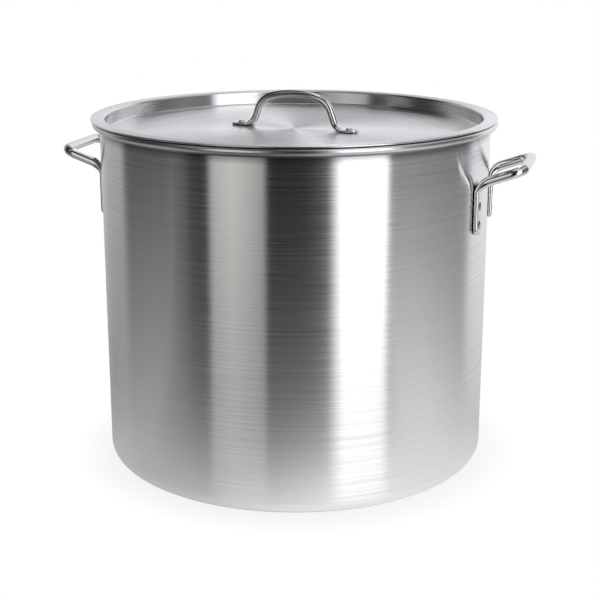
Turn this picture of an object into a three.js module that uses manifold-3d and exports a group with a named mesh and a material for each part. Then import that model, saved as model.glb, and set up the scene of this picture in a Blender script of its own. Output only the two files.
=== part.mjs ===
// Large two-handled cooking pot with a drop-in lid.
// Millimetres, +Z up, origin on the pot's axis at the underside of the base, +X through the right side handle.
import * as THREE from 'three';
import { mergeVertices } from 'three/addons/utils/BufferGeometryUtils.js';
import Module from 'manifold-3d';

const wasm = await Module();
wasm.setup();

// Pot body
const POT_DIAMETER = 381;
const POT_HEIGHT = 340.6;
const WALL = 3;
const BASE = 5;
const BASE_CORNER = 14;
const BEAD_OVERHANG = 8;
const BEAD_HEIGHT = 6.4;
const BEAD_FILLET = 2.5;
const MOUTH_ROUNDING = 1.2;

// Lid, and how it lies on the pot: a little off centre in its clearance, and turned
const LID_SHEET = 1.5;
const LID_INSET = 0.2;
const LID_RECESS = 14.2;
const LID_CLEARANCE = 2.6;
const LID_BEND = 1;
const LID_SHIFT = new THREE.Vector3(-1.85, 1.05, 0);
const LID_TURN = THREE.MathUtils.degToRad(-11.8);

// Lid handle: half widths are measured from the middle of the arch, heights from the panel
const LID_ROD = 7.2;
const LID_FOOT_END = 68.5;
const LID_FOOT_BEND = 46;
const LID_FOOT_BEND_RADIUS = 12;
const LID_FOOT_WIDTH = 14;
const LID_FOOT_THICKNESS = 2.2;
const LID_FOOT_CORNER = 5;
const LID_SHOULDER = 36;
const LID_SHOULDER_HEIGHT = 28.5;
const LID_SHOULDER_RADIUS = 20;
const LID_CROWN_BEND = 11.5;
const LID_CROWN_HEIGHT = 34.1;
const LID_RIVET_AT = 59.5;

// Side handles: each leg is flattened into a paddle that fades out over the given share of its elbow
const HANDLE_ROD = 9.5;
const HANDLE_SPACING = 84;
const HANDLE_REACH = 38.3;
const HANDLE_TILT = THREE.MathUtils.degToRad(19.5);
const HANDLE_DROP = 49.8;
const HANDLE_LEG = 48.8;
const HANDLE_ELBOW_RADIUS = 12;
const HANDLE_CORNER_RADIUS = 12;
const PADDLE_WIDTH = 15.5;
const PADDLE_THICKNESS = 4.3;
const PADDLE_FADE = 0.8;
const PADDLE_CORNER = 6;
const PADDLE_RIVET_EDGE = 9.6;
const PADDLE_RIVET_PITCH = 17.5;

// Rivets
const RIVET_CLEARANCE = 0.3;
const HANDLE_RIVET = { shank: 5, dome: 8.5, domeHeight: 1.6, button: 10, buttonHeight: 1.5 };
const LID_RIVET = { shank: 4.4, dome: 8, domeHeight: 2.4, button: 9, buttonHeight: 1.2 };
const BUTTON_CHAMFER = 0.4;

// Fits and fineness
const SEAT_GAP = 0.3;
const ROUND_STEPS = 72;
const ARC_STEPS = 2;
const BEND_STEPS = 6;
const SECTION_STEPS = 12;
const RIVET_STEPS = 12;
const HOLE_STEPS = 16;
const END_STEPS = 2;
const PADDLE_SQUARENESS = 5;
const CUT_MARGIN = 5;

// Sizes that follow from the ones above
const wallRadius = POT_DIAMETER / 2;
const mouthRadius = wallRadius - WALL;
const lidUnder = POT_HEIGHT + SEAT_GAP;
const panelTop = lidUnder + LID_SHEET - LID_RECESS;
const paddleOuter = wallRadius + SEAT_GAP + PADDLE_THICKNESS;
const legRadius = wallRadius + SEAT_GAP + HANDLE_ROD / 2;
const legAzimuth = Math.asin(HANDLE_SPACING / 2 / legRadius);
const elbowHeight = POT_HEIGHT - HANDLE_DROP;
const paddleEnd = elbowHeight - HANDLE_LEG;
const rivetHeights = [paddleEnd + PADDLE_RIVET_EDGE, paddleEnd + PADDLE_RIVET_EDGE + PADDLE_RIVET_PITCH];

// Materials
function metal(color, roughness) {
  return new THREE.MeshStandardMaterial({ color, roughness, metalness: 1 });
}
const spunAluminium = metal(0xc9cbcd, 0.35);
const polishedRod = metal(0xd8d8d8, 0.12);
const rivetAluminium = metal(0xd0d0ce, 0.25);

// Solids for cutting holes
function toSolid(geometry) {
  const bare = geometry.clone();
  bare.deleteAttribute('normal');
  bare.deleteAttribute('uv');
  const welded = mergeVertices(bare);
  const vertProperties = new Float32Array(welded.attributes.position.array);
  const triVerts = new Uint32Array(welded.index.array);
  return new wasm.Manifold(new wasm.Mesh({ numProp: 3, vertProperties, triVerts }));
}

function toGeometry(solid) {
  const mesh = solid.getMesh();
  const geometry = new THREE.BufferGeometry();
  geometry.setAttribute('position', new THREE.BufferAttribute(mesh.vertProperties, 3));
  geometry.setIndex(new THREE.BufferAttribute(mesh.triVerts, 1));
  geometry.computeVertexNormals();
  return geometry;
}

function withHoles(geometry, cutters) {
  let solid = toSolid(geometry);
  for (const cutter of cutters) {
    solid = solid.subtract(toSolid(cutter));
  }
  return toGeometry(solid);
}

function named(name, geometry, material) {
  const mesh = new THREE.Mesh(geometry, material);
  mesh.name = name;
  return mesh;
}

// A profile drawn as radius against height, turned about Z
function revolve(profile, steps) {
  return new THREE.LatheGeometry(profile.getPoints(ARC_STEPS), steps).rotateX(Math.PI / 2);
}

// Stations along a rod: its corners are rounded to their radii, straights keep only their ends
function bentStations(corners) {
  const stations = [];
  corners.forEach((corner, i) => {
    const before = corners[i - 1];
    const after = corners[i + 1];
    const into = before && corner.at.clone().sub(before.at).normalize();
    const out = after && after.at.clone().sub(corner.at).normalize();
    if (!before || !after) {
      stations.push({ at: corner.at.clone(), along: into || out, corner: i, turned: 0 });
      return;
    }
    const turn = into.angleTo(out);
    const inward = out.clone().addScaledVector(into, -Math.cos(turn)).normalize();
    const setback = corner.radius * Math.tan(turn / 2);
    const start = corner.at.clone().addScaledVector(into, -setback);
    for (let step = 0; step <= BEND_STEPS; step++) {
      const angle = (turn * step) / BEND_STEPS;
      const at = start.clone().addScaledVector(into, corner.radius * Math.sin(angle));
      at.addScaledVector(inward, corner.radius * (1 - Math.cos(angle)));
      const along = into.clone().multiplyScalar(Math.cos(angle)).addScaledVector(inward, Math.sin(angle));
      stations.push({ at, along, corner: i, turned: step / BEND_STEPS });
    }
  });
  return stations;
}

// One ring of a rod's section: flat 0 is round, flat 1 is a squared paddle; across is the paddle's thin way
function sectionRing(at, along, across, rod, paddle, flat, endDistance) {
  const lerp = THREE.MathUtils.lerp;
  const thin = across.clone().addScaledVector(along, -across.dot(along)).normalize();
  const wide = thin.clone().cross(along);
  const corner = Math.max(paddle.corner - endDistance, 0);
  const trimmed = paddle.width - 2 * (paddle.corner - Math.sqrt(paddle.corner ** 2 - corner ** 2));
  const width = lerp(rod, trimmed, flat);
  const thickness = lerp(rod, paddle.thickness, flat);
  const power = 2 / lerp(2, PADDLE_SQUARENESS, flat);
  const ring = [];
  for (let step = 0; step < SECTION_STEPS; step++) {
    const angle = (2 * Math.PI * step) / SECTION_STEPS;
    const x = Math.sign(Math.cos(angle)) * Math.abs(Math.cos(angle)) ** power;
    const y = Math.sign(Math.sin(angle)) * Math.abs(Math.sin(angle)) ** power;
    const point = at.clone().addScaledVector(wide, (x * width) / 2);
    ring.push(point.addScaledVector(thin, (y * thickness) / 2));
  }
  return ring;
}

// Stations where a paddle's rounded corners narrow it towards its tip
function endStations(tip, corner) {
  const stations = [];
  for (let step = 1; step <= END_STEPS; step++) {
    const share = 1 - Math.cos((Math.PI / 2) * (step / END_STEPS));
    stations.push({ ...tip, at: tip.at.clone().addScaledVector(tip.along, corner * share) });
  }
  return stations;
}

// Half a rod as rings, completed by its mirror image, with flat ends
function mirroredLoft(half, mirror) {
  const other = half.slice(0, -1).reverse().map((ring) => ring.map((point) => point.clone().multiply(mirror)));
  const rings = half.concat(other);
  const sides = SECTION_STEPS;
  const last = (rings.length - 1) * sides;
  const faces = [];
  for (let ring = 0; ring + 1 < rings.length; ring++) {
    for (let side = 0; side < sides; side++) {
      const a = ring * sides + side;
      const b = ring * sides + ((side + 1) % sides);
      faces.push(a, b, b + sides, a, b + sides, a + sides);
    }
  }
  for (let side = 1; side + 1 < sides; side++) {
    faces.push(0, side + 1, side, last, last + side, last + side + 1);
  }
  const geometry = new THREE.BufferGeometry().setFromPoints(rings.flat());
  geometry.setIndex(faces);
  return geometry;
}

// A rivet along Z: domed head above the upper seat, low button below the lower seat
function rivetGeometry(size, lowerSeat, upperSeat) {
  const dome = size.dome / 2;
  const domeRadius = (dome ** 2 + size.domeHeight ** 2) / (2 * size.domeHeight);
  const domeCentre = upperSeat + size.domeHeight - domeRadius;
  const domeStart = Math.atan2(upperSeat - domeCentre, dome);
  const profile = new THREE.Path();
  profile.moveTo(0, lowerSeat - size.buttonHeight);
  profile.lineTo(size.button / 2 - BUTTON_CHAMFER, lowerSeat - size.buttonHeight);
  profile.lineTo(size.button / 2, lowerSeat - size.buttonHeight + BUTTON_CHAMFER);
  profile.lineTo(size.button / 2, lowerSeat);
  profile.lineTo(size.shank / 2, lowerSeat);
  profile.lineTo(size.shank / 2, upperSeat);
  profile.absarc(0, domeCentre, domeRadius, domeStart, Math.PI / 2, false);
  return revolve(profile, RIVET_STEPS);
}

function holeCutter(size, length) {
  const radius = size.shank / 2 + RIVET_CLEARANCE;
  return new THREE.CylinderGeometry(radius, radius, length, HOLE_STEPS);
}

// Holes through the wall and one paddle, for a handle that points along the given azimuth
function handleHoles(handleAzimuth) {
  const length = 2 * (WALL + PADDLE_THICKNESS + CUT_MARGIN);
  const holes = [];
  for (const side of [-1, 1]) {
    for (const height of rivetHeights) {
      const hole = holeCutter(HANDLE_RIVET, length).rotateZ(Math.PI / 2).translate(wallRadius, 0, height);
      holes.push(hole.rotateZ(handleAzimuth + side * legAzimuth));
    }
  }
  return holes;
}

function potBody() {
  const beadUnder = POT_HEIGHT - BEAD_HEIGHT;
  const beadCentre = wallRadius + BEAD_OVERHANG - BEAD_HEIGHT / 2;
  const innerCorner = BASE_CORNER - WALL;
  const up = Math.PI / 2;
  const profile = new THREE.Path();
  profile.moveTo(0, 0);
  profile.lineTo(wallRadius - BASE_CORNER, 0);
  profile.absarc(wallRadius - BASE_CORNER, BASE_CORNER, BASE_CORNER, -up, 0, false);
  profile.absarc(wallRadius + BEAD_FILLET, beadUnder - BEAD_FILLET, BEAD_FILLET, Math.PI, up, true);
  profile.absarc(beadCentre, beadUnder + BEAD_HEIGHT / 2, BEAD_HEIGHT / 2, -up, up, false);
  profile.absarc(mouthRadius + MOUTH_ROUNDING, POT_HEIGHT - MOUTH_ROUNDING, MOUTH_ROUNDING, up, Math.PI, false);
  profile.absarc(mouthRadius - innerCorner, BASE + innerCorner, innerCorner, 0, -up, true);
  profile.lineTo(0, BASE);
  const holes = [...handleHoles(0), ...handleHoles(Math.PI)];
  return named('pot_body', withHoles(revolve(profile, ROUND_STEPS), holes), spunAluminium);
}

function lidPan() {
  const edge = wallRadius + BEAD_OVERHANG - LID_INSET - LID_SHEET / 2;
  const stepOuter = mouthRadius - LID_CLEARANCE;
  const outside = LID_BEND + LID_SHEET;
  const upper = { x: stepOuter + LID_BEND, y: lidUnder - LID_BEND };
  const lower = { x: stepOuter - outside, y: panelTop - LID_SHEET + outside };
  const up = Math.PI / 2;
  const profile = new THREE.Path();
  profile.moveTo(0, panelTop - LID_SHEET);
  profile.lineTo(lower.x, panelTop - LID_SHEET);
  profile.absarc(lower.x, lower.y, outside, -up, 0, false);
  profile.absarc(upper.x, upper.y, LID_BEND, Math.PI, up, true);
  profile.absarc(edge, lidUnder + LID_SHEET / 2, LID_SHEET / 2, -up, up, false);
  profile.absarc(upper.x, upper.y, outside, up, Math.PI, false);
  profile.absarc(lower.x, lower.y, LID_BEND, 0, -up, true);
  profile.lineTo(0, panelTop);
  return named('lid', withHoles(revolve(profile, ROUND_STEPS), lidHoles()), spunAluminium);
}

function lidHoles() {
  const length = 2 * (LID_SHEET + LID_FOOT_THICKNESS + CUT_MARGIN);
  return [-1, 1].map((side) => {
    const hole = holeCutter(LID_RIVET, length).rotateX(Math.PI / 2);
    return hole.translate(side * LID_RIVET_AT, 0, panelTop);
  });
}

function lidHandle() {
  const footCentre = SEAT_GAP + LID_FOOT_THICKNESS / 2;
  const crownSlope = Math.atan2(LID_CROWN_HEIGHT - LID_SHOULDER_HEIGHT, LID_SHOULDER - LID_CROWN_BEND);
  const point = (halfWidth, height) => new THREE.Vector3(halfWidth, 0, panelTop + height);
  const corners = [
    { at: point(LID_FOOT_END, footCentre) },
    { at: point(LID_FOOT_BEND, footCentre), radius: LID_FOOT_BEND_RADIUS },
    { at: point(LID_SHOULDER, LID_SHOULDER_HEIGHT), radius: LID_SHOULDER_RADIUS },
    { at: point(LID_CROWN_BEND, LID_CROWN_HEIGHT), radius: LID_CROWN_BEND / Math.tan(crownSlope / 2) },
    { at: point(-LID_CROWN_BEND, LID_CROWN_HEIGHT) },
  ];
  const stations = bentStations(corners).slice(0, -1);
  const end = stations[0];
  stations.splice(1, 0, ...endStations(end, LID_FOOT_CORNER));
  const foot = { width: LID_FOOT_WIDTH, thickness: LID_FOOT_THICKNESS, corner: LID_FOOT_CORNER };
  const rings = stations.map((station) => {
    const across = new THREE.Vector3(0, 1, 0).cross(station.along);
    const bend = station.corner === 1 ? station.turned : Number(station.corner > 1);
    const flat = 1 - THREE.MathUtils.smoothstep(bend, 0, 1);
    const endDistance = station.at.distanceTo(end.at);
    return sectionRing(station.at, station.along, across, LID_ROD, foot, flat, endDistance);
  });
  const loft = mirroredLoft(rings, new THREE.Vector3(-1, 1, 1));
  return named('lid_handle', withHoles(loft, lidHoles()), polishedRod);
}

function lidRivet(name, side) {
  const lowerSeat = -LID_SHEET - SEAT_GAP;
  const upperSeat = SEAT_GAP + LID_FOOT_THICKNESS + SEAT_GAP;
  const rivet = named(name, rivetGeometry(LID_RIVET, lowerSeat, upperSeat), rivetAluminium);
  rivet.position.set(side * LID_RIVET_AT, 0, panelTop);
  return rivet;
}

function handleLoop(name) {
  const half = HANDLE_SPACING / 2;
  const legReach = legRadius * Math.cos(legAzimuth);
  const gripReach = wallRadius + HANDLE_REACH;
  const gripHeight = elbowHeight + (gripReach - legReach) * Math.tan(HANDLE_TILT);
  const corners = [
    { at: new THREE.Vector3(legReach, -half, paddleEnd) },
    { at: new THREE.Vector3(legReach, -half, elbowHeight), radius: HANDLE_ELBOW_RADIUS },
    { at: new THREE.Vector3(gripReach, -half, gripHeight), radius: HANDLE_CORNER_RADIUS },
    { at: new THREE.Vector3(gripReach, 0, gripHeight) },
  ];
  const stations = bentStations(corners);
  const end = stations[0];
  stations.splice(1, 0, ...endStations(end, PADDLE_CORNER));
  const outward = new THREE.Vector3(Math.cos(legAzimuth), -Math.sin(legAzimuth), 0);
  const paddle = { width: PADDLE_WIDTH, thickness: PADDLE_THICKNESS, corner: PADDLE_CORNER };
  const underLoop = new THREE.Vector3(Math.sin(HANDLE_TILT), 0, -Math.cos(HANDLE_TILT));
  const rings = stations.map((station) => {
    const bend = station.corner === 1 ? station.turned : Number(station.corner > 1);
    const flat = 1 - THREE.MathUtils.smoothstep(bend, 0, PADDLE_FADE);
    const inset = (flat * (HANDLE_ROD - PADDLE_THICKNESS)) / 2;
    const at = station.at.clone().addScaledVector(outward, -inset);
    const inElbow = new THREE.Vector3(0, 1, 0).cross(station.along);
    const across = station.corner > 1 ? underLoop : outward.clone().lerp(inElbow, bend);
    return sectionRing(at, station.along, across, HANDLE_ROD, paddle, flat, station.at.distanceTo(end.at));
  });
  const loft = mirroredLoft(rings, new THREE.Vector3(1, -1, 1));
  return named(name, withHoles(loft, handleHoles(0)), polishedRod);
}

function handleRivet(name) {
  const buttonReach = HANDLE_RIVET.button / 2;
  const flatWall = mouthRadius * Math.cos(Math.PI / ROUND_STEPS);
  const innerSeat = Math.sqrt(flatWall ** 2 - buttonReach ** 2) - SEAT_GAP;
  const rivet = named(name, rivetGeometry(HANDLE_RIVET, innerSeat, paddleOuter + SEAT_GAP), rivetAluminium);
  rivet.rotation.y = Math.PI / 2;
  return rivet;
}

// A side handle with its rivets, built pointing along +X and turned into place
function sideHandle(side, azimuth, legNames) {
  const group = new THREE.Group();
  group.add(handleLoop(`handle_${side}`));
  legNames.forEach((legName, i) => {
    const leg = new THREE.Group();
    leg.rotation.z = (2 * i - 1) * legAzimuth;
    ['lower', 'upper'].forEach((level, row) => {
      const rivet = handleRivet(`handle_rivet_${side}_${legName}_${level}`);
      rivet.position.z = rivetHeights[row];
      leg.add(rivet);
    });
    group.add(leg);
  });
  group.rotation.z = azimuth;
  return group;
}

function lidAssembly() {
  const group = new THREE.Group();
  group.add(lidPan());
  group.add(lidHandle());
  group.add(lidRivet('lid_rivet_left', -1));
  group.add(lidRivet('lid_rivet_right', 1));
  group.position.copy(LID_SHIFT);
  group.rotation.z = LID_TURN;
  return group;
}

const pot = new THREE.Group();
pot.add(potBody());
pot.add(sideHandle('right', 0, ['front', 'back']));
pot.add(sideHandle('left', Math.PI, ['back', 'front']));
pot.add(lidAssembly());

export default pot;
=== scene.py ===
# A large two-handled aluminium cooking pot with a drop-in lid, on a white studio floor.
import math

import bpy
from mathutils import Matrix, Vector


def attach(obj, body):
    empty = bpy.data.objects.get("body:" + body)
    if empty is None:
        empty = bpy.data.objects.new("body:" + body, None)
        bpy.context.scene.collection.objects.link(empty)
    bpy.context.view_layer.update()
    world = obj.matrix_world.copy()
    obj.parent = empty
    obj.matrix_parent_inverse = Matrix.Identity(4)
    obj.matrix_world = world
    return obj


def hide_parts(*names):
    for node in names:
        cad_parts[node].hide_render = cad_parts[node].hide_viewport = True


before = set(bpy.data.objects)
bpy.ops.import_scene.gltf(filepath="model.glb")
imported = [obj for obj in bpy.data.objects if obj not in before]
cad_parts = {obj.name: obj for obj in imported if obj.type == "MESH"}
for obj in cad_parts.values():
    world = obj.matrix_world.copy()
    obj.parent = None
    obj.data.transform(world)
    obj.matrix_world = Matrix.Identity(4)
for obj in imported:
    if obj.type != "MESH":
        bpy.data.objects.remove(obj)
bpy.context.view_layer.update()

MM = 0.001
QUARTER_TURN = math.pi / 2

# Pot body, in millimetres
WALL_RADIUS = 190.5
POT_HEIGHT = 340.6
WALL = 3.0
BASE = 5.0
BASE_CORNER = 14.0
BEAD_OVERHANG = 7.2
BEAD_HEIGHT = 6.8
BEAD_FILLET = 2.5
MOUTH_ROUNDING = 1.2
MOUTH_RADIUS = WALL_RADIUS - WALL
BEAD_UNDER = POT_HEIGHT - BEAD_HEIGHT

# Lid, which lies a little off centre in its clearance and turned
SEAT_GAP = 0.3
LID_SHEET = 1.5
LID_OVERHANG = 0.6
LID_RECESS = 14.2
LID_CLEARANCE = 1.7
LID_BEND = 1.0
LID_PANEL_BEND = 2.0
LID_SHIFT = Vector((-1.2, 0.8, 0))
LID_TURN = math.radians(-11.8)
LID_UNDER = POT_HEIGHT + SEAT_GAP
PANEL_TOP = LID_UNDER + LID_SHEET - LID_RECESS
LID_EDGE = WALL_RADIUS + BEAD_OVERHANG + LID_OVERHANG

# Lid handle
LID_ROD = 7.2
LID_FOOT_END = 68.5
LID_FOOT_BEND = 46.0
LID_FOOT_BEND_RADIUS = 12.0
LID_FOOT_WIDTH = 14.0
LID_FOOT_THICKNESS = 2.2
LID_FOOT_CORNER = 5.0
LID_SHOULDER = 36.0
LID_SHOULDER_HEIGHT = 28.5
LID_SHOULDER_RADIUS = 20.0
LID_CROWN_BEND = 11.5
LID_CROWN_HEIGHT = 34.1
LID_RIVET_AT = 59.5

# Side handles: each leg is a paddle that fades out over the given share of its elbow
HANDLE_ROD = 9.3
HANDLE_SPACING = 84.0
HANDLE_REACH = 38.3
HANDLE_TILT = math.radians(19.5)
HANDLE_DROP = 49.8
HANDLE_LEG = 48.8
HANDLE_BEND_RADIUS = 12.0
PADDLE_WIDTH = 15.5
PADDLE_THICKNESS = 4.3
PADDLE_FADE = 0.8
PADDLE_CORNER = 6.0
PADDLE_RIVET_EDGE = 9.6
PADDLE_RIVET_PITCH = 17.5
LEG_RADIUS = WALL_RADIUS + SEAT_GAP + HANDLE_ROD / 2
LEG_AZIMUTH = math.asin(HANDLE_SPACING / 2 / LEG_RADIUS)
ELBOW_HEIGHT = POT_HEIGHT - HANDLE_DROP
PADDLE_END = ELBOW_HEIGHT - HANDLE_LEG

# Rivets
HANDLE_RIVET = {"shank": 5.0, "dome": 8.5, "dome_height": 0.7, "button": 10.0, "button_height": 1.5}
LID_RIVET = {"shank": 4.4, "dome": 8.0, "dome_height": 1.8, "button": 9.0, "button_height": 1.2}
BUTTON_CHAMFER = 0.4

# Fineness of the drawn surfaces
ROUND_STEPS = 256
ARC_STEPS = 10
BEND_STEPS = 20
TIP_STEPS = 6
SECTION_STEPS = 32
RIVET_STEPS = 40
FLOOR_STEPS = 96
SMOOTH_ANGLE = math.radians(35)

# Aluminium, brushed round the axis with fine and coarse lines
ALUMINIUM_GREY = 0.865
# The last value of each finish is the share of the colour left by the painted shade under the bead
WALL_FINISH = {"roughness": 0.21, "anisotropy": 1.0, "line_depth": 0.095, "left_in_painted_shade": 0.4}
BEAD_FINISH = {"roughness": 0.28, "anisotropy": 0.4, "line_depth": 0.03, "left_in_painted_shade": 1.0}
LID_FINISH = {"roughness": 0.24, "anisotropy": 1.0, "line_depth": 0.03, "left_in_painted_shade": 1.0}
ACROSS_THE_LINES = 0.25
FINE_LINES = {"per_metre": 1100.0, "drift": 1.6}
COARSE_LINES = {"per_metre": 480.0, "drift": 1.1}
FINE_SHARE = 0.6
COARSE_SHARE = 0.4
LINE_DETAIL = 3.0
LINE_CONTRAST = (0.33, 0.67)
LINE_ROUGHNESS = 0.05
LINE_BUMP = {"strength": 0.12, "depth": 0.2 * MM}

# Painted shade, darker colour standing in for the shadow under the bead and in the seams: the share of the
# colour that is left, and where
PAINTED_SHADE_LOW = (BEAD_UNDER - 9.0) * MM
PAINTED_SHADE_HIGH = (BEAD_UNDER - 2.0) * MM
SEAM_REACH = 4.5 * MM
SEAM_SAMPLES = 8
# Painted shade in the seams: the share of the colour left, as the ambient occlusion goes from closed to
# open
SEAM_PAINTED_SHADE = (0.04, 1.0, 0.25, 0.75)

# Polished rod with scuffs, and rivet metal with dents
ROD_COLOUR = (0.83, 0.83, 0.84)
ROD_DARK = (0.78, 0.78, 0.79)
ROD_LIGHT = (0.88, 0.88, 0.885)
ROD_ROUGHNESS = 0.08
SCUFF_SCALE = 120.0
SCUFF_DETAIL = 4.0
SCUFF_ROUGHNESS = (0.05, 0.14)
RIVET_COLOUR = (0.85, 0.85, 0.85)
RIVET_DARK = (0.74, 0.74, 0.74)
RIVET_LIGHT = (0.88, 0.88, 0.88)
RIVET_ROUGHNESS = 0.2
DENT_SCALE = 700.0
DENT_DETAIL = 2.0
DENT_ROUGHNESS = (0.14, 0.28)
DENT_BUMP = {"strength": 0.1, "depth": 0.3 * MM}

# Studio as the metal sees it: greys by azimuth in degrees, with the viewer at 0 and their right at 90
LIGHT_PANELS = [
    (-180, 0.8), (-165, 0.65), (-145, 0.45), (-121, 0.4), (-115, 0.05), (-80, 0.03), (-76, 0.07),
    (-66, 0.07), (-62, 0.01), (-51.5, 0.01), (-48.5, 0.6), (-36, 0.77), (-24, 0.58), (-17.7, 0.45),
    (-16.2, 0.004), (6, 0.006), (19, 0.06), (27.5, 2.0), (52.8, 2.0), (55.6, 0.08), (75, 0.1),
    (100, 0.13), (118, 0.14), (126, 0.85), (145, 0.9), (180, 0.8),
]
ROOM_ABOVE = [
    (-180, 0.22), (-150, 0.2), (-130, 0.03), (-77, 0.015), (-74, 0.6), (-66, 0.6), (-63, 0.012),
    (-60, 0.01), (-45, 0.05), (-25, 0.04), (-15, 0.05), (15, 0.08), (26, 0.9), (56, 0.9), (70, 0.5),
    (110, 0.5), (150, 0.25), (166, 0.22), (170, 1.5), (177, 1.5), (180, 0.22),
]
ROOM_BELOW = [
    (-180, 0.3), (-125, 0.2), (-110, 0.03), (-20, 0.03), (15, 0.01), (30, 0.5), (52, 0.5),
    (58, 0.08), (115, 0.1), (130, 0.4), (180, 0.3),
]
WARM_SIDE = (-90, -18)
WARM = (1.012, 1.0, 0.972)
COOL = (0.99, 1.0, 1.035)
VIEWER_SHARE = 0.5
FULL_TURN_DEGREES = 360

# Heights of a direction, as sines, over which one part of the studio turns into the next
PANELS_TO_ABOVE = (0.42, 0.6)
ABOVE_TO_CEILING = (0.86, 0.95)
PANELS_TO_BELOW = (-0.34, -0.46)
CEILING_LAMP = (0.03, 0.8, 0.93, 0.985)

# Floor, in metres. A row of four gives two values and the two places between which one turns into the other
FLOOR_RADIUS = 1.6
FLOOR_DROP = 0.2 * MM
FLOOR_GREY = (0.8, 0.8, 0.8, 1)
FLOOR_ROUGHNESS = 0.9
FLOOR_TURN = math.radians(9)
POOL_ASIDE = 0.06
POOL_AHEAD = 0.25
SHADOW_BY_GAP = (0.88, 1.0, 0.0, 0.035)
FADE_BY_FACING = (0.19, 1.2, 0.5, 1.02)
GLOW_BY_SIDE = (0.42, 0.85, -0.34, 0.2)
GLOW_BY_FACING = (0.7, 1.0, -0.3, 0.3)
GLOW_IN_POOL = (0.33, 0.0, 0.02, 0.18)
GLOW_FADE = [(0, 1), (0.03, 0.9), (0.06, 0.7), (0.14, 0.33), (0.3, 0.13), (0.6, 0.04), (1, 0)]

# Camera, found by fitting the photograph's ellipses: the viewer stands to the right of the pot's front
VIEW_TURN = math.radians(15.5)
CAMERA_DISTANCE = 1301.5
CAMERA_HEIGHT = 523.4
CAMERA_PITCH = 0.2776
CAMERA_YAW = 0.0036
CAMERA_LENS = 79.51
CAMERA_SENSOR = 36.0
CAMERA_NEAR = 0.05
CAMERA_FAR = 50


def arc(centre, radius, start, end):
    """Points of an arc in the profile's plane, from one angle to another."""
    steps = [start + (end - start) * i / ARC_STEPS for i in range(ARC_STEPS + 1)]
    return [(centre[0] + radius * math.cos(a), centre[1] + radius * math.sin(a)) for a in steps]


def mesh_object(name, points, faces):
    """A smooth-shaded mesh object from millimetre points, keeping creases sharper than SMOOTH_ANGLE."""
    mesh = bpy.data.meshes.new(name)
    mesh.from_pydata([tuple(c * MM for c in p) for p in points], [], faces)
    mesh.validate()
    mesh.shade_smooth()
    mesh.set_sharp_from_angle(angle=SMOOTH_ANGLE)
    mesh.update()
    obj = bpy.data.objects.new(name, mesh)
    bpy.context.scene.collection.objects.link(obj)
    return obj


def revolve(name, profile, steps):
    """A profile of radius against height turned about Z. It starts and ends on the axis."""
    inner = profile[1:-1]
    count = len(inner)
    points = [(0, 0, profile[0][1]), (0, 0, profile[-1][1])]
    for s in range(steps):
        a = 2 * math.pi * s / steps
        points += [(r * math.cos(a), r * math.sin(a), z) for r, z in inner]
    faces = []
    for s in range(steps):
        here = 2 + s * count
        there = 2 + (s + 1) % steps * count
        faces.append((0, there, here))
        faces.append((1, here + count - 1, there + count - 1))
        faces += [(here + i, there + i, there + i + 1, here + i + 1) for i in range(count - 1)]
    return mesh_object(name, points, faces)


def bent_stations(corners):
    """Places along a rod whose corners are rounded: point, direction, corner, and share of its turn."""
    stations = []
    for i, (at, radius) in enumerate(corners):
        into = (at - corners[i - 1][0]).normalized() if i else None
        out = (corners[i + 1][0] - at).normalized() if i + 1 < len(corners) else None
        if into is None or out is None:
            stations.append((at, out or into, i, 0.0))
            continue
        turn = into.angle(out)
        inward = (out - into * math.cos(turn)).normalized()
        start = at - into * radius * math.tan(turn / 2)
        for step in range(BEND_STEPS + 1):
            a = turn * step / BEND_STEPS
            point = start + into * radius * math.sin(a) + inward * radius * (1 - math.cos(a))
            along = into * math.cos(a) + inward * math.sin(a)
            stations.append((point, along, i, step / BEND_STEPS))
    return stations


def tipped(stations, corner):
    """The stations with more of them near the first end, where a paddle's corners are rounded."""
    end, along = stations[0][:2]
    shares = [1 - math.cos(QUARTER_TURN * i / TIP_STEPS) for i in range(1, TIP_STEPS + 1)]
    tip = [(end + along * corner * share, along, 0, 0.0) for share in shares]
    return stations[:1] + tip + stations[1:]


def smoothstep(x, low, high):
    """0 up to low, 1 from high on, and a smooth rise between them."""
    t = min(max((x - low) / (high - low), 0.0), 1.0)
    return t * t * (3 - 2 * t)


def lerp(a, b, t):
    """The number a share t of the way from a to b."""
    return a + (b - a) * t


def section_ring(at, along, across, rod, paddle, flat, end_distance):
    """One ring round a rod. flat 0 is round and flat 1 is a round-sided paddle, thin along across."""
    width, thickness, corner = paddle
    thin = (across - along * across.dot(along)).normalized()
    wide = thin.cross(along)
    missing = max(corner - end_distance, 0.0)
    trimmed = width - 2 * (corner - math.sqrt(corner**2 - missing**2))
    half_width = lerp(rod, trimmed, flat) / 2
    half_thickness = lerp(rod, thickness, flat) / 2
    flat_half = max(half_width - half_thickness, 0.0)
    ring = []
    for step in range(SECTION_STEPS):
        a = 2 * math.pi * (step + 0.5) / SECTION_STEPS
        x = math.copysign(flat_half, math.cos(a)) + min(half_width, half_thickness) * math.cos(a)
        ring.append(at + wide * x + thin * half_thickness * math.sin(a))
    return ring


def mirrored_loft(name, half, mirror):
    """Half a rod as rings, completed by its mirror image and closed at both ends."""
    other = [[Vector(c * m for c, m in zip(p, mirror)) for p in ring] for ring in reversed(half[:-1])]
    rings = half + other
    sides = SECTION_STEPS
    points = [p for ring in rings for p in ring]
    faces = []
    for r in range(len(rings) - 1):
        for s in range(sides):
            a = r * sides + s
            b = r * sides + (s + 1) % sides
            faces.append((a, b, b + sides, a + sides))
    faces.append(tuple(reversed(range(sides))))
    faces.append(tuple(range((len(rings) - 1) * sides, len(rings) * sides)))
    return mesh_object(name, points, faces)


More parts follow.
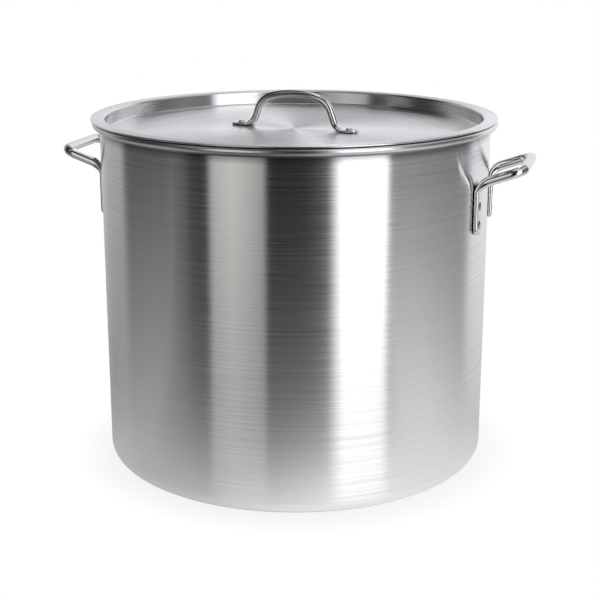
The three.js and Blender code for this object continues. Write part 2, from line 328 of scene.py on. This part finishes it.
def pot_body():
    """Base, wall and bead as one turned shell. The bead's outside takes the second material."""
    bead = WALL_RADIUS + BEAD_OVERHANG - BEAD_HEIGHT / 2
    inner_corner = BASE_CORNER - WALL
    mouth = (MOUTH_RADIUS + MOUTH_ROUNDING, POT_HEIGHT - MOUTH_ROUNDING)
    fillet = (WALL_RADIUS + BEAD_FILLET, BEAD_UNDER - BEAD_FILLET)
    profile = [(0, 0)]
    profile += arc((WALL_RADIUS - BASE_CORNER, BASE_CORNER), BASE_CORNER, -QUARTER_TURN, 0)
    profile += arc(fillet, BEAD_FILLET, math.pi, QUARTER_TURN)
    profile += arc((bead, BEAD_UNDER + BEAD_HEIGHT / 2), BEAD_HEIGHT / 2, -QUARTER_TURN, QUARTER_TURN)
    profile += arc(mouth, MOUTH_ROUNDING, QUARTER_TURN, math.pi)
    profile += arc((MOUTH_RADIUS - inner_corner, BASE + inner_corner), inner_corner, 0, -QUARTER_TURN)
    profile += [(0, BASE)]
    body = revolve("pot_body_fine", profile, ROUND_STEPS)
    for face in body.data.polygons:
        outer = math.hypot(face.center.x, face.center.y) > WALL_RADIUS * MM
        face.material_index = int(outer and face.center.z > BEAD_UNDER * MM)
    return body


def lid_pan():
    """Sunk panel, upright step and flange of the lid as one bent sheet."""
    upper_outside = LID_BEND + LID_SHEET
    lower_outside = LID_PANEL_BEND + LID_SHEET
    step = MOUTH_RADIUS - LID_CLEARANCE
    upper = (step + LID_BEND, LID_UNDER - LID_BEND)
    lower = (step - lower_outside, PANEL_TOP + LID_PANEL_BEND)
    edge = (LID_EDGE - LID_SHEET / 2, LID_UNDER + LID_SHEET / 2)
    profile = [(0, PANEL_TOP - LID_SHEET)]
    profile += arc(lower, lower_outside, -QUARTER_TURN, 0)
    profile += arc(upper, LID_BEND, math.pi, QUARTER_TURN)
    profile += arc(edge, LID_SHEET / 2, -QUARTER_TURN, QUARTER_TURN)
    profile += arc(upper, upper_outside, QUARTER_TURN, math.pi)
    profile += arc(lower, LID_PANEL_BEND, 0, -QUARTER_TURN)
    profile += [(0, PANEL_TOP)]
    return revolve("lid_fine", profile, ROUND_STEPS)


def lid_handle():
    """Arched rod with a flat foot at each end, along X over the lid panel."""
    foot = SEAT_GAP + LID_FOOT_THICKNESS / 2
    slope = math.atan2(LID_CROWN_HEIGHT - LID_SHOULDER_HEIGHT, LID_SHOULDER - LID_CROWN_BEND)
    spots = [
        (LID_FOOT_END, foot, 0),
        (LID_FOOT_BEND, foot, LID_FOOT_BEND_RADIUS),
        (LID_SHOULDER, LID_SHOULDER_HEIGHT, LID_SHOULDER_RADIUS),
        (LID_CROWN_BEND, LID_CROWN_HEIGHT, LID_CROWN_BEND / math.tan(slope / 2)),
        (-LID_CROWN_BEND, LID_CROWN_HEIGHT, 0),
    ]
    corners = [(Vector((x, 0, PANEL_TOP + z)), radius) for x, z, radius in spots]
    end = corners[0][0]
    paddle = (LID_FOOT_WIDTH, LID_FOOT_THICKNESS, LID_FOOT_CORNER)
    rings = []
    for at, along, corner, turned in tipped(bent_stations(corners)[:-1], LID_FOOT_CORNER):
        across = Vector((0, 1, 0)).cross(along)
        flat = 1 - smoothstep(turned, 0, 1) if corner == 1 else float(corner < 1)
        rings.append(section_ring(at, along, across, LID_ROD, paddle, flat, (at - end).length))
    return mirrored_loft("lid_handle_fine", rings, (-1, 1, 1))


def handle_loop(name):
    """Side handle on the +X side: two paddles against the wall, and a tilted loop between them."""
    half = HANDLE_SPACING / 2
    leg = LEG_RADIUS * math.cos(LEG_AZIMUTH)
    grip = WALL_RADIUS + HANDLE_REACH
    grip_height = ELBOW_HEIGHT + (grip - leg) * math.tan(HANDLE_TILT)
    corners = [
        (Vector((leg, -half, PADDLE_END)), 0),
        (Vector((leg, -half, ELBOW_HEIGHT)), HANDLE_BEND_RADIUS),
        (Vector((grip, -half, grip_height)), HANDLE_BEND_RADIUS),
        (Vector((grip, 0, grip_height)), 0),
    ]
    end = corners[0][0]
    outward = Vector((math.cos(LEG_AZIMUTH), -math.sin(LEG_AZIMUTH), 0))
    under_loop = Vector((math.sin(HANDLE_TILT), 0, -math.cos(HANDLE_TILT)))
    paddle = (PADDLE_WIDTH, PADDLE_THICKNESS, PADDLE_CORNER)
    rings = []
    for at, along, corner, turned in tipped(bent_stations(corners), PADDLE_CORNER):
        bend = turned if corner == 1 else float(corner > 1)
        flat = 1 - smoothstep(bend, 0, PADDLE_FADE)
        centre = at - outward * flat * (HANDLE_ROD - PADDLE_THICKNESS) / 2
        across = under_loop if corner > 1 else outward.lerp(Vector((0, 1, 0)).cross(along), bend)
        rings.append(section_ring(centre, along, across, HANDLE_ROD, paddle, flat, (at - end).length))
    return mirrored_loft(name, rings, (1, -1, 1))


def rivet(name, size, lower_seat, upper_seat):
    """A rivet along Z: domed head above the upper seat, low button below the lower seat."""
    dome = size["dome"] / 2
    radius = (dome**2 + size["dome_height"] ** 2) / (2 * size["dome_height"])
    centre = upper_seat + size["dome_height"] - radius
    button = size["button"] / 2
    shank = size["shank"] / 2
    bottom = lower_seat - size["button_height"]
    profile = [(0, bottom), (button - BUTTON_CHAMFER, bottom), (button, bottom + BUTTON_CHAMFER)]
    profile += [(button, lower_seat), (shank, lower_seat), (shank, upper_seat)]
    profile += arc((0, centre), radius, math.atan2(upper_seat - centre, dome), QUARTER_TURN)[:-1]
    profile += [(0, upper_seat + size["dome_height"])]
    return revolve(name, profile, RIVET_STEPS)


def place(obj, matrix):
    """Moves a piece's mesh, so that its object stays at the origin."""
    obj.data.transform(matrix)
    return obj


def new_material(name, colour, roughness):
    """A metal with its constant values on the shader's own sockets."""
    material = bpy.data.materials.new(name)
    material.use_nodes = True
    tree = material.node_tree
    shader = tree.nodes["Principled BSDF"]
    shader.inputs["Base Color"].default_value = (*colour, 1)
    shader.inputs["Metallic"].default_value = 1.0
    shader.inputs["Roughness"].default_value = roughness
    return material, tree, shader


def math_node(tree, operation, first, second):
    """One sum on two numbers or sockets."""
    node = tree.nodes.new("ShaderNodeMath")
    node.operation = operation
    for socket, value in zip(node.inputs, (first, second)):
        if isinstance(value, (int, float)):
            socket.default_value = value
        else:
            tree.links.new(value, socket)
    return node.outputs[0]


def vector_node(tree, operation, first, second=None):
    """A number from one vector socket, or from it and a fixed vector."""
    node = tree.nodes.new("ShaderNodeVectorMath")
    node.operation = operation
    tree.links.new(first, node.inputs[0])
    if second is not None:
        node.inputs[1].default_value = second
    return node.outputs["Value"]


def noise_node(tree, vector, scale, detail):
    """Noise from 0 to 1 over a vector."""
    node = tree.nodes.new("ShaderNodeTexNoise")
    node.inputs["Scale"].default_value = scale
    node.inputs["Detail"].default_value = detail
    tree.links.new(vector, node.inputs["Vector"])
    return node.outputs["Fac"]


def ranged(tree, value, low, high, from_low=0.0, from_high=1.0):
    """A number that goes from low to high as the value goes from from_low to from_high, and stays there."""
    node = tree.nodes.new("ShaderNodeMapRange")
    node.inputs["From Min"].default_value = from_low
    node.inputs["From Max"].default_value = from_high
    node.inputs["To Min"].default_value = low
    node.inputs["To Max"].default_value = high
    tree.links.new(value, node.inputs["Value"])
    return node.outputs["Result"]


def scaled(tree, colour, factor):
    """A colour times a number."""
    node = tree.nodes.new("ShaderNodeVectorMath")
    node.operation = "SCALE"
    tree.links.new(colour, node.inputs[0])
    tree.links.new(factor, node.inputs["Scale"])
    return node.outputs[0]


def colour_between(tree, factor, dark, light):
    """The dark colour where the factor is 0, and the light one where it is 1."""
    node = tree.nodes.new("ShaderNodeMix")
    node.data_type = "RGBA"
    node.inputs["A"].default_value = (*dark, 1)
    node.inputs["B"].default_value = (*light, 1)
    tree.links.new(factor, node.inputs["Factor"])
    return node.outputs["Result"]


def mixed(tree, factor, first, second):
    """The first colour socket where the factor is 0, and the second where it is 1."""
    node = tree.nodes.new("ShaderNodeMix")
    node.data_type = "RGBA"
    tree.links.new(factor, node.inputs["Factor"])
    tree.links.new(first, node.inputs["A"])
    tree.links.new(second, node.inputs["B"])
    return node.outputs["Result"]


def mixed_shaders(tree, factor, first, second):
    """The first shader where the factor is 0, and the second where it is 1."""
    node = tree.nodes.new("ShaderNodeMixShader")
    for socket, value in zip(node.inputs, (factor, first, second)):
        tree.links.new(value, socket)
    return node.outputs[0]


def bump(tree, shader, height, strength, depth):
    """Relief on the shader, from a height between 0 and 1."""
    node = tree.nodes.new("ShaderNodeBump")
    node.inputs["Strength"].default_value = strength
    node.inputs["Distance"].default_value = depth
    tree.links.new(height, node.inputs["Height"])
    tree.links.new(node.outputs[0], shader.inputs["Normal"])


def turned_coordinates(tree):
    """Object position as a point on the unit circle, radius and height, for marks left by turning."""
    split = tree.nodes.new("ShaderNodeSeparateXYZ")
    tree.links.new(tree.nodes.new("ShaderNodeTexCoord").outputs["Object"], split.inputs[0])
    x, y, height = split.outputs
    square = math_node(tree, "ADD", math_node(tree, "MULTIPLY", x, x), math_node(tree, "MULTIPLY", y, y))
    radius = math_node(tree, "SQRT", square, 0)
    return math_node(tree, "DIVIDE", x, radius), math_node(tree, "DIVIDE", y, radius), radius, height


def brush_lines(tree, per_metre, drift):
    """Fine lines that run round the axis: noise that varies fast across them and slowly along them."""
    cos, sin, radius, height = turned_coordinates(tree)
    across = math_node(tree, "MULTIPLY", math_node(tree, "ADD", radius, height), per_metre)
    along = [math_node(tree, "MULTIPLY", value, drift) for value in (cos, sin)]
    combine = tree.nodes.new("ShaderNodeCombineXYZ")
    for socket, value in zip(combine.inputs, (*along, across)):
        tree.links.new(value, socket)
    return noise_node(tree, combine.outputs[0], 1.0, LINE_DETAIL)


def painted_shade_under_bead(tree, colour, left):
    """Painted shade on the wall right under the bead, where the given share of the colour is left."""
    height = turned_coordinates(tree)[-1]
    return scaled(tree, colour, ranged(tree, height, 1.0, left, PAINTED_SHADE_LOW, PAINTED_SHADE_HIGH))


def painted_shade_in_seams(tree, colour):
    """Painted shade where two pieces meet, such as under the lid's edge and beside the handle legs: the
    colour is darkened where ambient occlusion finds the surface closed in.
    """
    openness = tree.nodes.new("ShaderNodeAmbientOcclusion")
    openness.inputs["Distance"].default_value = SEAM_REACH
    openness.samples = SEAM_SAMPLES
    return scaled(tree, colour, ranged(tree, openness.outputs["AO"], *SEAM_PAINTED_SHADE))


def spun_aluminium(name, roughness, anisotropy, line_depth, left_in_painted_shade):
    """Aluminium brushed round the axis: reflections spread across the lines and stay sharp along them."""
    material, tree, shader = new_material(name, (ALUMINIUM_GREY,) * 3, roughness)
    shader.inputs["Anisotropic"].default_value = anisotropy
    shader.inputs["Anisotropic Rotation"].default_value = ACROSS_THE_LINES
    tangent = tree.nodes.new("ShaderNodeTangent")
    tangent.direction_type = "RADIAL"
    tangent.axis = "Z"
    tree.links.new(tangent.outputs[0], shader.inputs["Tangent"])
    fine = math_node(tree, "MULTIPLY", brush_lines(tree, **FINE_LINES), FINE_SHARE)
    coarse = math_node(tree, "MULTIPLY", brush_lines(tree, **COARSE_LINES), COARSE_SHARE)
    lines = math_node(tree, "ADD", fine, coarse)
    marks = ranged(tree, lines, 0.0, 1.0, *LINE_CONTRAST)
    varied = ranged(tree, marks, roughness - LINE_ROUGHNESS, roughness + LINE_ROUGHNESS)
    tree.links.new(varied, shader.inputs["Roughness"])
    dark = (ALUMINIUM_GREY - line_depth,) * 3
    light = (ALUMINIUM_GREY + line_depth,) * 3
    # Painted shade: the colour is darkened under the bead, and where pieces meet
    shade_painted = painted_shade_under_bead(tree, colour_between(tree, marks, dark, light), left_in_painted_shade)
    tree.links.new(painted_shade_in_seams(tree, shade_painted), shader.inputs["Base Color"])
    bump(tree, shader, lines, **LINE_BUMP)
    return material


def polished_rod():
    """Bright drawn rod with faint handling scuffs."""
    material, tree, shader = new_material("polished_rod", ROD_COLOUR, ROD_ROUGHNESS)
    position = tree.nodes.new("ShaderNodeTexCoord").outputs["Object"]
    scuff = noise_node(tree, position, SCUFF_SCALE, SCUFF_DETAIL)
    tree.links.new(ranged(tree, scuff, *SCUFF_ROUGHNESS), shader.inputs["Roughness"])
    tree.links.new(colour_between(tree, scuff, ROD_DARK, ROD_LIGHT), shader.inputs["Base Color"])
    return material


def rivet_aluminium():
    """Bright rivet metal with small upset marks."""
    material, tree, shader = new_material("rivet_aluminium", RIVET_COLOUR, RIVET_ROUGHNESS)
    position = tree.nodes.new("ShaderNodeTexCoord").outputs["Object"]
    dents = noise_node(tree, position, DENT_SCALE, DENT_DETAIL)
    tree.links.new(ranged(tree, dents, *DENT_ROUGHNESS), shader.inputs["Roughness"])
    tree.links.new(colour_between(tree, dents, RIVET_DARK, RIVET_LIGHT), shader.inputs["Base Color"])
    bump(tree, shader, dents, **DENT_BUMP)
    return material


def dress(obj, node, body, material):
    """A fine piece in place of its CAD node."""
    obj.data.materials.append(material)
    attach(obj, body)
    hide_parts(node)
    return obj


def build_leg_rivets(side, leg, azimuth, bright):
    """The two rivets through one paddle, lying along the radius at its azimuth."""
    button = HANDLE_RIVET["button"] / 2
    inner_seat = math.sqrt(MOUTH_RADIUS**2 - button**2) - 2 * SEAT_GAP
    outer_seat = WALL_RADIUS + SEAT_GAP + PADDLE_THICKNESS + SEAT_GAP
    turn = Matrix.Rotation(azimuth, 4, "Z")
    lie_down = Matrix.Rotation(QUARTER_TURN, 4, "Y")
    for row, level in enumerate(("lower", "upper")):
        node = f"handle_rivet_{side}_{leg}_{level}"
        height = PADDLE_END + PADDLE_RIVET_EDGE + row * PADDLE_RIVET_PITCH
        piece = rivet(f"{node}_fine", HANDLE_RIVET, inner_seat, outer_seat)
        place(piece, turn @ Matrix.Translation((0, 0, height * MM)) @ lie_down)
        dress(piece, node, "pot", bright)


def build_pot(aluminium, bead_aluminium, rod, bright):
    """The pot body with both side handles and their rivets."""
    body = dress(pot_body(), "pot_body", "pot", aluminium)
    body.data.materials.append(bead_aluminium)
    for side, azimuth, legs in (("right", 0.0, ("front", "back")), ("left", math.pi, ("back", "front"))):
        loop = handle_loop(f"handle_{side}_fine")
        place(loop, Matrix.Rotation(azimuth, 4, "Z"))
        dress(loop, f"handle_{side}", "pot", rod)
        for leg, sign in zip(legs, (-1, 1)):
            build_leg_rivets(side, leg, azimuth + sign * LEG_AZIMUTH, bright)


def build_lid(aluminium, rod, bright):
    """The lid with its handle and two rivets."""
    turn = Matrix.Translation(LID_SHIFT * MM) @ Matrix.Rotation(LID_TURN, 4, "Z")
    dress(place(lid_pan(), turn), "lid", "lid", aluminium)
    dress(place(lid_handle(), turn), "lid_handle", "lid", rod)
    upper_seat = SEAT_GAP + LID_FOOT_THICKNESS + SEAT_GAP
    for side, sign in (("left", -1), ("right", 1)):
        piece = rivet(f"lid_rivet_{side}_fine", LID_RIVET, -LID_SHEET - SEAT_GAP, upper_seat)
        place(piece, turn @ Matrix.Translation((sign * LID_RIVET_AT * MM, 0, PANEL_TOP * MM)))
        dress(piece, f"lid_rivet_{side}", "lid", bright)


def direction_azimuth(tree):
    """A world direction's azimuth, as 0 to 1 with the viewer at VIEWER_SHARE, and its height."""
    rotate = tree.nodes.new("ShaderNodeVectorRotate")
    rotate.rotation_type = "Z_AXIS"
    rotate.inputs["Angle"].default_value = -VIEW_TURN
    tree.links.new(tree.nodes.new("ShaderNodeTexCoord").outputs["Generated"], rotate.inputs["Vector"])
    split = tree.nodes.new("ShaderNodeSeparateXYZ")
    tree.links.new(rotate.outputs[0], split.inputs[0])
    toward = math_node(tree, "MULTIPLY", split.outputs["Y"], -1.0)
    angle = math_node(tree, "ARCTAN2", split.outputs["X"], toward)
    share = math_node(tree, "MULTIPLY_ADD", angle, 1 / (2 * math.pi))
    share.node.inputs[2].default_value = VIEWER_SHARE
    return share, split.outputs["Z"]


def studio_tint(angle):
    """The room is warm to the viewer's left and cool elsewhere."""
    return WARM if WARM_SIDE[0] < angle < WARM_SIDE[1] else COOL


def band_ramp(tree, share, bands):
    """Tinted greys round the viewer, by azimuth in degrees."""
    node = tree.nodes.new("ShaderNodeValToRGB")
    elements = node.color_ramp.elements
    elements.remove(elements[-1])
    for angle, _ in bands[1:]:
        elements.new(VIEWER_SHARE + angle / FULL_TURN_DEGREES)
    elements[0].position = 0.0
    for element, (angle, grey) in zip(elements, bands):
        element.color = (*[grey * tint for tint in studio_tint(angle)], 1)
    tree.links.new(share, node.inputs[0])
    return node.outputs["Color"]


def studio_world():
    """Light panels and dark gaps round the pot, with the room above and below. The camera sees white."""
    world = bpy.data.worlds.new("studio")
    bpy.context.scene.world = world
    world.use_nodes = True
    tree = world.node_tree
    share, height = direction_azimuth(tree)
    panels = band_ramp(tree, share, LIGHT_PANELS)
    above = band_ramp(tree, share, ROOM_ABOVE)
    below = band_ramp(tree, share, ROOM_BELOW)
    ceiling = ranged(tree, height, *CEILING_LAMP)
    upper = mixed(tree, ranged(tree, height, 0.0, 1.0, *PANELS_TO_ABOVE), panels, above)
    roofed = mixed(tree, ranged(tree, height, 0.0, 1.0, *ABOVE_TO_CEILING), upper, ceiling)
    studio = mixed(tree, ranged(tree, height, 0.0, 1.0, *PANELS_TO_BELOW), roofed, below)
    background = tree.nodes["Background"]
    tree.links.new(studio, background.inputs["Color"])
    white = tree.nodes.new("ShaderNodeBackground")
    white.inputs["Color"].default_value = (1, 1, 1, 1)
    seen = tree.nodes.new("ShaderNodeLightPath").outputs["Is Camera Ray"]
    shown = mixed_shaders(tree, seen, background.outputs[0], white.outputs[0])
    tree.links.new(shown, tree.nodes["World Output"].inputs["Surface"])


def float_ramp(tree, value, stops):
    """A number by a number, straight between the stops."""
    node = tree.nodes.new("ShaderNodeFloatCurve")
    curve = node.mapping.curves[0]
    curve.points[0].location = stops[0]
    curve.points[1].location = stops[-1]
    for stop in stops[1:-1]:
        curve.points.new(*stop)
    for point in curve.points:
        point.handle_type = "VECTOR"
    node.mapping.update()
    tree.links.new(value, node.inputs["Value"])
    return node.outputs["Value"]


def floor_disc():
    """A round table top just under the pot's base."""
    points = [(0, 0, 0)]
    for i in range(FLOOR_STEPS):
        a = 2 * math.pi * i / FLOOR_STEPS
        points.append((FLOOR_RADIUS * math.cos(a) / MM, FLOOR_RADIUS * math.sin(a) / MM, 0))
    faces = [(0, 1 + i, 1 + (i + 1) % FLOOR_STEPS) for i in range(FLOOR_STEPS)]
    floor = mesh_object("studio_floor", points, faces)
    floor.location.z = -FLOOR_DROP
    return floor


def floor_place(tree):
    """A floor point's gap to the wall, place to the right, share in front, and distance from the pool."""
    position = tree.nodes.new("ShaderNodeTexCoord").outputs["Object"]
    across = (math.cos(VIEW_TURN), math.sin(VIEW_TURN), 0)
    ahead = (math.sin(VIEW_TURN), -math.cos(VIEW_TURN), 0)
    length = vector_node(tree, "LENGTH", position)
    aside = vector_node(tree, "DOT_PRODUCT", position, across)
    front = tuple(math.cos(FLOOR_TURN) * a - math.sin(FLOOR_TURN) * b for a, b in zip(ahead, across))
    facing = math_node(tree, "DIVIDE", vector_node(tree, "DOT_PRODUCT", position, front), length)
    pool = tuple(POOL_ASIDE * a + POOL_AHEAD * b for a, b in zip(across, ahead))
    from_pool = vector_node(tree, "DISTANCE", position, pool)
    return math_node(tree, "SUBTRACT", length, WALL_RADIUS * MM), aside, facing, from_pool


def floor_in_metal(tree, ray_length, aside, facing, from_pool):
    """The floor's glow in the metal, which fades with the length of the mirrored ray."""
    fade = math_node(tree, "MULTIPLY", ray_length, ranged(tree, facing, *FADE_BY_FACING))
    near = float_ramp(tree, math_node(tree, "DIVIDE", fade, FLOOR_RADIUS), GLOW_FADE)
    by_side = ranged(tree, aside, *GLOW_BY_SIDE)
    lit = math_node(tree, "ADD", by_side, ranged(tree, from_pool, *GLOW_IN_POOL))
    strength = math_node(tree, "MULTIPLY", lit, ranged(tree, facing, *GLOW_BY_FACING))
    glow = tree.nodes.new("ShaderNodeEmission")
    tree.links.new(strength, glow.inputs["Strength"])
    clear = tree.nodes.new("ShaderNodeBsdfTransparent")
    return mixed_shaders(tree, near, clear.outputs[0], glow.outputs[0])


def studio_white():
    """A white table top: the camera sees it white with the pot's shadow, and the metal sees its glow."""
    material = bpy.data.materials.new("studio_white")
    material.use_nodes = True
    tree = material.node_tree
    matt = tree.nodes["Principled BSDF"]
    matt.inputs["Base Color"].default_value = FLOOR_GREY
    matt.inputs["Roughness"].default_value = FLOOR_ROUGHNESS
    paths = tree.nodes.new("ShaderNodeLightPath").outputs
    gap, aside, facing, from_pool = floor_place(tree)
    white = tree.nodes.new("ShaderNodeEmission")
    open_floor = ranged(tree, gap, *SHADOW_BY_GAP)
    shaded = mixed_shaders(tree, open_floor, matt.outputs[0], white.outputs[0])
    for_camera = mixed_shaders(tree, paths["Is Camera Ray"], matt.outputs[0], shaded)
    in_metal = floor_in_metal(tree, paths["Ray Length"], aside, facing, from_pool)
    shown = mixed_shaders(tree, paths["Is Glossy Ray"], for_camera, in_metal)
    tree.links.new(shown, tree.nodes["Material Output"].inputs["Surface"])
    return material


def studio_floor():
    """The floor, which isn't part of the object."""
    floor = floor_disc()
    floor.data.materials.append(studio_white())


def photo_camera():
    """A camera where the photograph's was."""
    data = bpy.data.cameras.new("photo_camera")
    data.lens = CAMERA_LENS
    data.sensor_width = CAMERA_SENSOR
    data.sensor_fit = "HORIZONTAL"
    data.clip_start = CAMERA_NEAR
    data.clip_end = CAMERA_FAR
    camera = bpy.data.objects.new("photo_camera", data)
    bpy.context.scene.collection.objects.link(camera)
    turn = Matrix.Rotation(VIEW_TURN, 3, "Z")
    camera.location = turn @ Vector((0, -CAMERA_DISTANCE * MM, CAMERA_HEIGHT * MM))
    flat = math.cos(CAMERA_PITCH)
    forward = Vector((math.sin(CAMERA_YAW) * flat, math.cos(CAMERA_YAW) * flat, -math.sin(CAMERA_PITCH)))
    camera.rotation_mode = "QUATERNION"
    camera.rotation_quaternion = (turn @ forward).to_track_quat("-Z", "Y")
    bpy.context.scene.camera = camera


wall_aluminium = spun_aluminium("wall_aluminium", **WALL_FINISH)
bead_aluminium = spun_aluminium("bead_aluminium", **BEAD_FINISH)
lid_aluminium = spun_aluminium("lid_aluminium", **LID_FINISH)
rod_metal = polished_rod()
rivet_metal = rivet_aluminium()
build_pot(wall_aluminium, bead_aluminium, rod_metal, rivet_metal)
build_lid(lid_aluminium, rod_metal, rivet_metal)
studio_world()
studio_floor()
photo_camera()
bpy.context.scene.view_settings.view_transform = "Standard"
